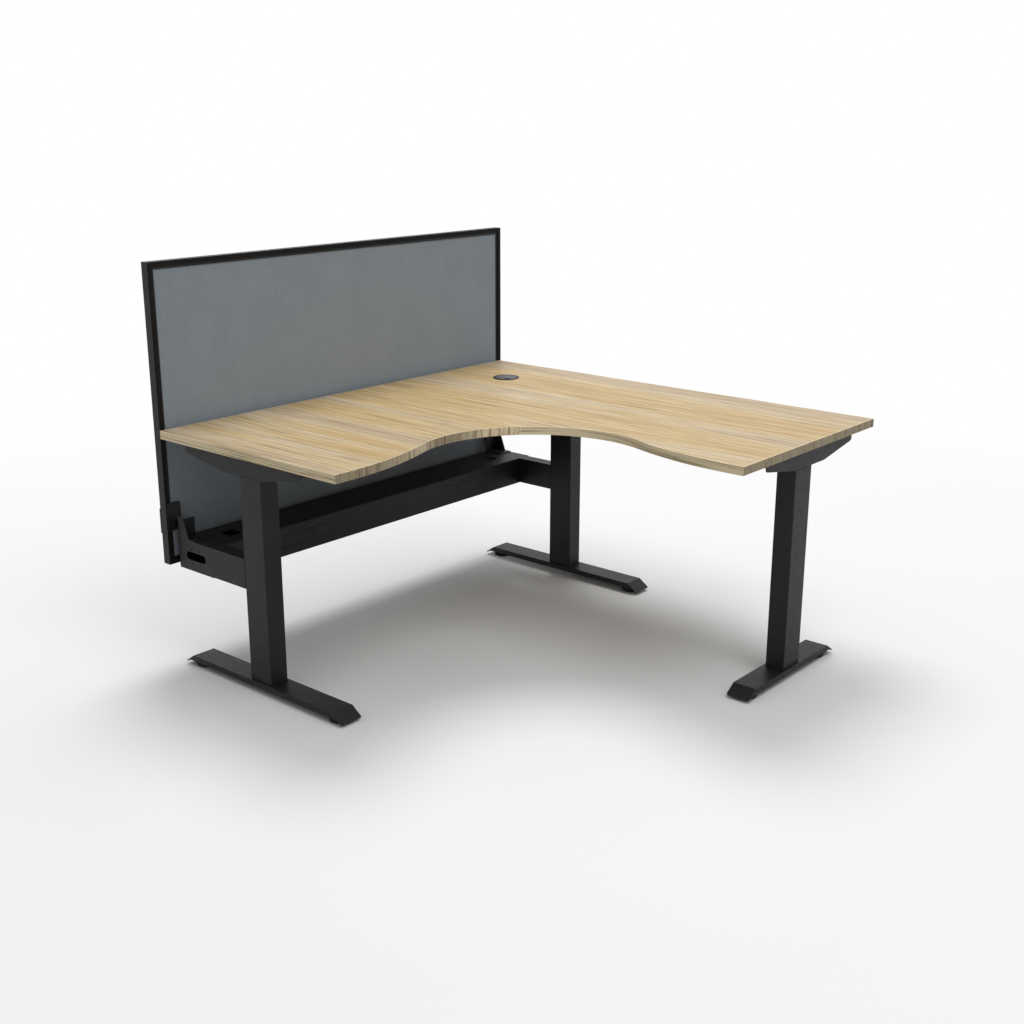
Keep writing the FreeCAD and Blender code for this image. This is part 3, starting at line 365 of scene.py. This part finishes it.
def cloth():
    graph = Finish("grey_cloth")
    place = graph.place()
    _, y, z = graph.split(place)
    wander = graph.math("MULTIPLY", graph.math("SUBTRACT", graph.noise(place, scale=60.0), 0.5), YARN)

    def yarns(way):
        return graph.math("SINE", graph.math("MULTIPLY", graph.math("ADD", way, wander), 2 * math.pi / YARN))

    weave = graph.math("MULTIPLY_ADD", graph.math("MULTIPLY", yarns(y), yarns(z)), 0.5, 0.5)
    slubs_across = graph.noise(graph.stretch(place, (1.0, SLUBS_ALONG, SLUBS_ACROSS)))
    slubs_up = graph.noise(graph.stretch(place, (1.0, SLUBS_ACROSS, SLUBS_ALONG)))
    slubs = graph.math("MULTIPLY", graph.math("ADD", slubs_across, slubs_up), 0.5)
    mottle = graph.noise(place, scale=9.0, detail=4.0, roughness=0.6)
    tone = graph.math("MULTIPLY", weave, WEAVE_TONE)
    tone = graph.math("MULTIPLY_ADD", graph.math("SUBTRACT", slubs, 0.5), SLUB_TONE, tone)
    tone = graph.math("MULTIPLY_ADD", mottle, MOTTLE_TONE, tone)
    relief = graph.math("MULTIPLY_ADD", slubs, SLUB_RELIEF, weave)
    normal = graph.bump(relief, distance=0.00016, strength=0.6)
    return graph.finish(graph.ramp(tone, CLOTH_TONES), 0.92, normal, specular=0.2, sheen=0.12)


# Small parts and the screen's core

def moulded(name, low, high, rough=(0.38, 0.5)):
    """Plastic or rubber with a fine spark-eroded texture."""
    graph = Finish(name)
    place = graph.place()
    colour = graph.ramp(graph.vary(graph.noise(place, scale=90.0, detail=3.0)), ((0.0, low), (1.0, high)))
    roughness = graph.vary(graph.noise(place, scale=300.0), *rough)
    texture = graph.noise(place, scale=1400.0)
    normal = graph.bump(texture, distance=0.00006, strength=0.5, normal=graph.soft_edge(radius=0.0005))
    return graph.finish(colour, roughness, normal, specular=0.25)


def plated(name, low, high, rough=(0.28, 0.42)):
    """Plated steel with faint turning marks."""
    graph = Finish(name)
    place = graph.place()
    marks = graph.noise(graph.stretch(place, (300.0, 300.0, 2400.0)), detail=3.0)
    colour = graph.ramp(graph.vary(marks), ((0.0, low), (1.0, high)))
    roughness = graph.vary(graph.noise(place, scale=220.0), *rough)
    normal = graph.bump(marks, distance=0.00003, strength=0.5, normal=graph.soft_edge(radius=0.0004))
    return graph.finish(colour, roughness, normal, metallic=1.0)


def board():
    """Plain fibre board."""
    graph = Finish("screen_board")
    fleck = graph.noise(graph.place(), scale=1200.0, detail=3.0, roughness=0.6)
    stops = ((0.0, linear(158, 138, 108)), (1.0, linear(190, 170, 138)))
    normal = graph.bump(fleck, distance=0.0001, strength=0.6)
    return graph.finish(graph.ramp(graph.vary(fleck), stops), 0.85, normal)


finishes = {
    "oak_laminate": oak_top(),
    "oak_edge": oak_edge(),
    "black_steel": steel_coat(),
    "black_frame": frame_coat(),
    "screen_board": board(),
    "grey_cloth": cloth(),
    "grey_plastic": moulded("grey_plastic", linear(68, 71, 78), linear(78, 81, 88)),
    "black_plastic": moulded("black_plastic", grey(0.012), grey(0.018)),
    "zinc_steel": plated("zinc_steel", (0.50, 0.50, 0.49), (0.66, 0.66, 0.65)),
    "black_bolts": plated("black_bolts", grey(0.02), grey(0.04), rough=(0.4, 0.55)),
    "black_rubber": moulded("black_rubber", grey(0.010), grey(0.016), rough=(0.6, 0.75)),
}

for part in frame["record"]["subparts"]:
    materials = frame["nodes"][part["node"]].data.materials
    materials.clear()
    materials.append(finishes[part["material_slot"]])


# Pieces made here in place of CAD nodes

def add_piece(name, shape, slot, body, *replaced):
    """Put a new shape in the scene as a piece of the object."""
    mesh = bpy.data.meshes.new(name)
    shape.to_mesh(mesh)
    shape.free()
    mesh.materials.append(finishes[slot])
    made = bpy.data.objects.new(name, mesh)
    bpy.context.scene.collection.objects.link(made)
    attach(made, body)
    if replaced:
        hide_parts(*replaced)
    return made


def add_strip(shape, first, second, smooth=False):
    """A row of four-sided faces between two rows of points."""
    for place in range(len(first) - 1):
        corners = first[place], first[place + 1], second[place + 1], second[place]
        shape.faces.new(corners).smooth = smooth


# Screen cloth: a stretched sheet on each face, drawn in where it enters the frame's groove

CLOTH_CELL = 0.012
TURN_IN = 0.0006
TURN_WIDTH = 0.016
SLACK = 0.00018
WAVE_ACROSS = 7.3
WAVE_UP = 9.7
WAVE_START = 0.8
SWAY = 1.7
SWAY_UP = 5.1


def slack_at(y, z):
    """How far the cloth lies back from its outer face."""
    across = math.sin(WAVE_ACROSS * y + SWAY * math.sin(SWAY_UP * z))
    up = math.sin(WAVE_UP * z + WAVE_START)
    return SLACK * (0.5 + 0.5 * across * up)


def cloth_sheet(name, node, outward):
    low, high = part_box(node)
    front, back = (high.x, low.x) if outward > 0 else (low.x, high.x)
    columns = round((high.y - low.y) / CLOTH_CELL)
    rows = round((high.z - low.z) / CLOTH_CELL)
    sheet = bmesh.new()
    outer, inner = [], []
    for row in range(rows + 1):
        z = low.z + (high.z - low.z) * row / rows
        outer.append([])
        inner.append([])
        for column in range(columns + 1):
            y = low.y + (high.y - low.y) * column / columns
            margin = min(y - low.y, high.y - y, z - low.z, high.z - z)
            turned = max(0.0, 1 - margin / TURN_WIDTH) ** 2 * TURN_IN
            outer[row].append(sheet.verts.new((front - outward * (turned + slack_at(y, z)), y, z)))
            inner[row].append(sheet.verts.new((back, y, z)))
    for layer in (outer, inner):
        for first, second in zip(layer, layer[1:]):
            add_strip(sheet, first, second, smooth=True)
    for end in (0, -1):
        add_strip(sheet, outer[end], inner[end])
    for end in (0, -1):
        add_strip(sheet, [row[end] for row in outer], [row[end] for row in inner])
    bmesh.ops.recalc_face_normals(sheet, faces=sheet.faces[:])
    made = add_piece(name, sheet, "grey_cloth", "frame", node)


cloth_sheet("screen_fabric_front", "screen_cloth_front", 1)
cloth_sheet("screen_fabric_back", "screen_cloth_back", -1)


# Glide stems: real threads in place of the plain rods

PITCH = 0.00125
THREAD_DEPTH = 0.0007
ROUND_STEPS = 24
TURN_STEPS = 6


def threaded_stem(name, node, body):
    low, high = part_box(node)
    radius = (high.x - low.x) / 2
    middle = (low + high) / 2
    rows = math.ceil((high.z - low.z) / PITCH * TURN_STEPS)
    stem = bmesh.new()
    rings = []
    for row in range(rows + 1):
        z = low.z + (high.z - low.z) * row / rows
        lead_in = min(1.0, (high.z - z) / PITCH)
        ring = []
        for step in range(ROUND_STEPS):
            angle = 2 * math.pi * step / ROUND_STEPS
            phase = ((z - low.z) / PITCH - step / ROUND_STEPS) % 1.0
            crest = 1 - abs(2 * phase - 1)
            size = radius - THREAD_DEPTH * (1 - crest * lead_in)
            x, y = middle.x + size * math.cos(angle), middle.y + size * math.sin(angle)
            ring.append(stem.verts.new((x, y, z)))
        rings.append(ring)
    for lower, upper in zip(rings, rings[1:]):
        add_strip(stem, lower + lower[:1], upper + upper[:1])
    stem.faces.new(rings[0][::-1])
    stem.faces.new(rings[-1])
    add_piece(name, stem, "zinc_steel", body, node)


for leg in ("left", "corner", "right"):
    for end in ("back", "front"):
        threaded_stem(f"glide_thread_{leg}_{end}", f"glide_stem_{leg}_{end}", f"glide_{leg}_{end}")


# Floor: just under the glides, pale where the object's shadow falls, and plain white far out

FLOOR_SIZE = 40.0
FLOOR_DROP = 0.0002
FLOOR_COLOUR = (0.93, 0.93, 0.93)
BOUNCE_COLOUR = (0.40, 0.40, 0.40)
FADE_MIDDLE = (0.35, -0.35)
FADE_START = 1.2
FADE_END = 4.2


def build_floor():
    bpy.ops.mesh.primitive_plane_add(size=FLOOR_SIZE, location=(0, 0, -FLOOR_DROP))
    floor = bpy.context.object
    floor.name = "floor"
    graph = Finish("floor")
    x, y, _ = graph.split(graph.place())
    x = graph.math("SUBTRACT", x, FADE_MIDDLE[0])
    y = graph.math("SUBTRACT", y, FADE_MIDDLE[1])
    away = graph.math("SQRT", graph.math("MULTIPLY_ADD", x, x, graph.math("MULTIPLY", y, y)))
    fade = graph.reach(away, FADE_START, FADE_END)
    bounced = graph.add("ShaderNodeLightPath").outputs["Is Diffuse Ray"]
    graph.finish(graph.mix(bounced, FLOOR_COLOUR, BOUNCE_COLOUR), 0.9, specular=0.0)
    blend = graph.add("ShaderNodeMixShader")
    graph.feed(blend.inputs[0], graph.math("MULTIPLY", fade, graph.seen()))
    graph.feed(blend.inputs[1], graph.shader.outputs["BSDF"])
    graph.feed(blend.inputs[2], graph.add("ShaderNodeEmission").outputs[0])
    graph.feed(graph.output.inputs["Surface"], blend.outputs[0])
    floor.data.materials.append(graph.material)


# Light: a white surround that lights the object less than it shows, and two lamps

HORIZON_LEVEL = 0.28
ZENITH_LEVEL = 0.62
SEEN_LEVEL = 1.0
WHITE = (1.0, 1.0, 1.0)

# Name, place, point it is aimed at, diameter and power in watts
LAMPS = (
    ("key_lamp", (-1.9, 1.7, 6.5), (0.0, 0.0, 0.3), 3.2, 205.0),
    ("fill_lamp", (2.8, -0.8, 5.2), (-0.3, 0.0, 0.8), 3.0, 70.0),
)


def build_world():
    world = bpy.data.worlds.new("studio")
    bpy.context.scene.world = world
    world.use_nodes = True
    graph = Graph(world.node_tree)
    up = graph.split(graph.add("ShaderNodeTexCoord").outputs["Generated"])["Z"]
    sky = graph.reach(up, 0.0, 1.0, HORIZON_LEVEL, ZENITH_LEVEL)
    level = graph.reach(graph.seen(), 0.0, 1.0, sky, SEEN_LEVEL)
    graph.feed_all(graph.tree.nodes["Background"], {"Color": WHITE, "Strength": level})


def add_lamp(name, place, target, size, power):
    data = bpy.data.lights.new(name, "AREA")
    data.shape = "DISK"
    data.size = size
    data.energy = power
    lamp = bpy.data.objects.new(name, data)
    lamp.location = place
    lamp.rotation_euler = (Vector(target) - Vector(place)).to_track_quat("-Z", "Y").to_euler()
    bpy.context.scene.collection.objects.link(lamp)


# Camera: the one that the photograph was taken with, in the part's frame

CAMERA_PLACE = (2.5058, -2.9644, 1.6301)
CAMERA_FORWARD = (-0.62202, 0.72746, -0.28965)
CAMERA_RIGHT = (0.75991, 0.65003, 0.00068)
SENSOR_WIDTH = 36.0
LENS_LENGTH = 46.89
CLIP_END = 100.0


def build_camera():
    data = bpy.data.cameras.new("camera")
    data.sensor_width = SENSOR_WIDTH
    data.lens = LENS_LENGTH
    data.clip_end = CLIP_END
    camera = bpy.data.objects.new("camera", data)
    forward = Vector(CAMERA_FORWARD).normalized()
    right = Vector(CAMERA_RIGHT).normalized()
    up = right.cross(forward)
    turn = Matrix((right, up, -forward)).transposed()
    camera.matrix_world = Matrix.Translation(CAMERA_PLACE) @ turn.to_4x4()
    bpy.context.scene.collection.objects.link(camera)
    bpy.context.scene.camera = camera


build_floor()
build_world()
for lamp in LAMPS:
    add_lamp(*lamp)
build_camera()
bpy.context.scene.view_settings.view_transform = "Standard"
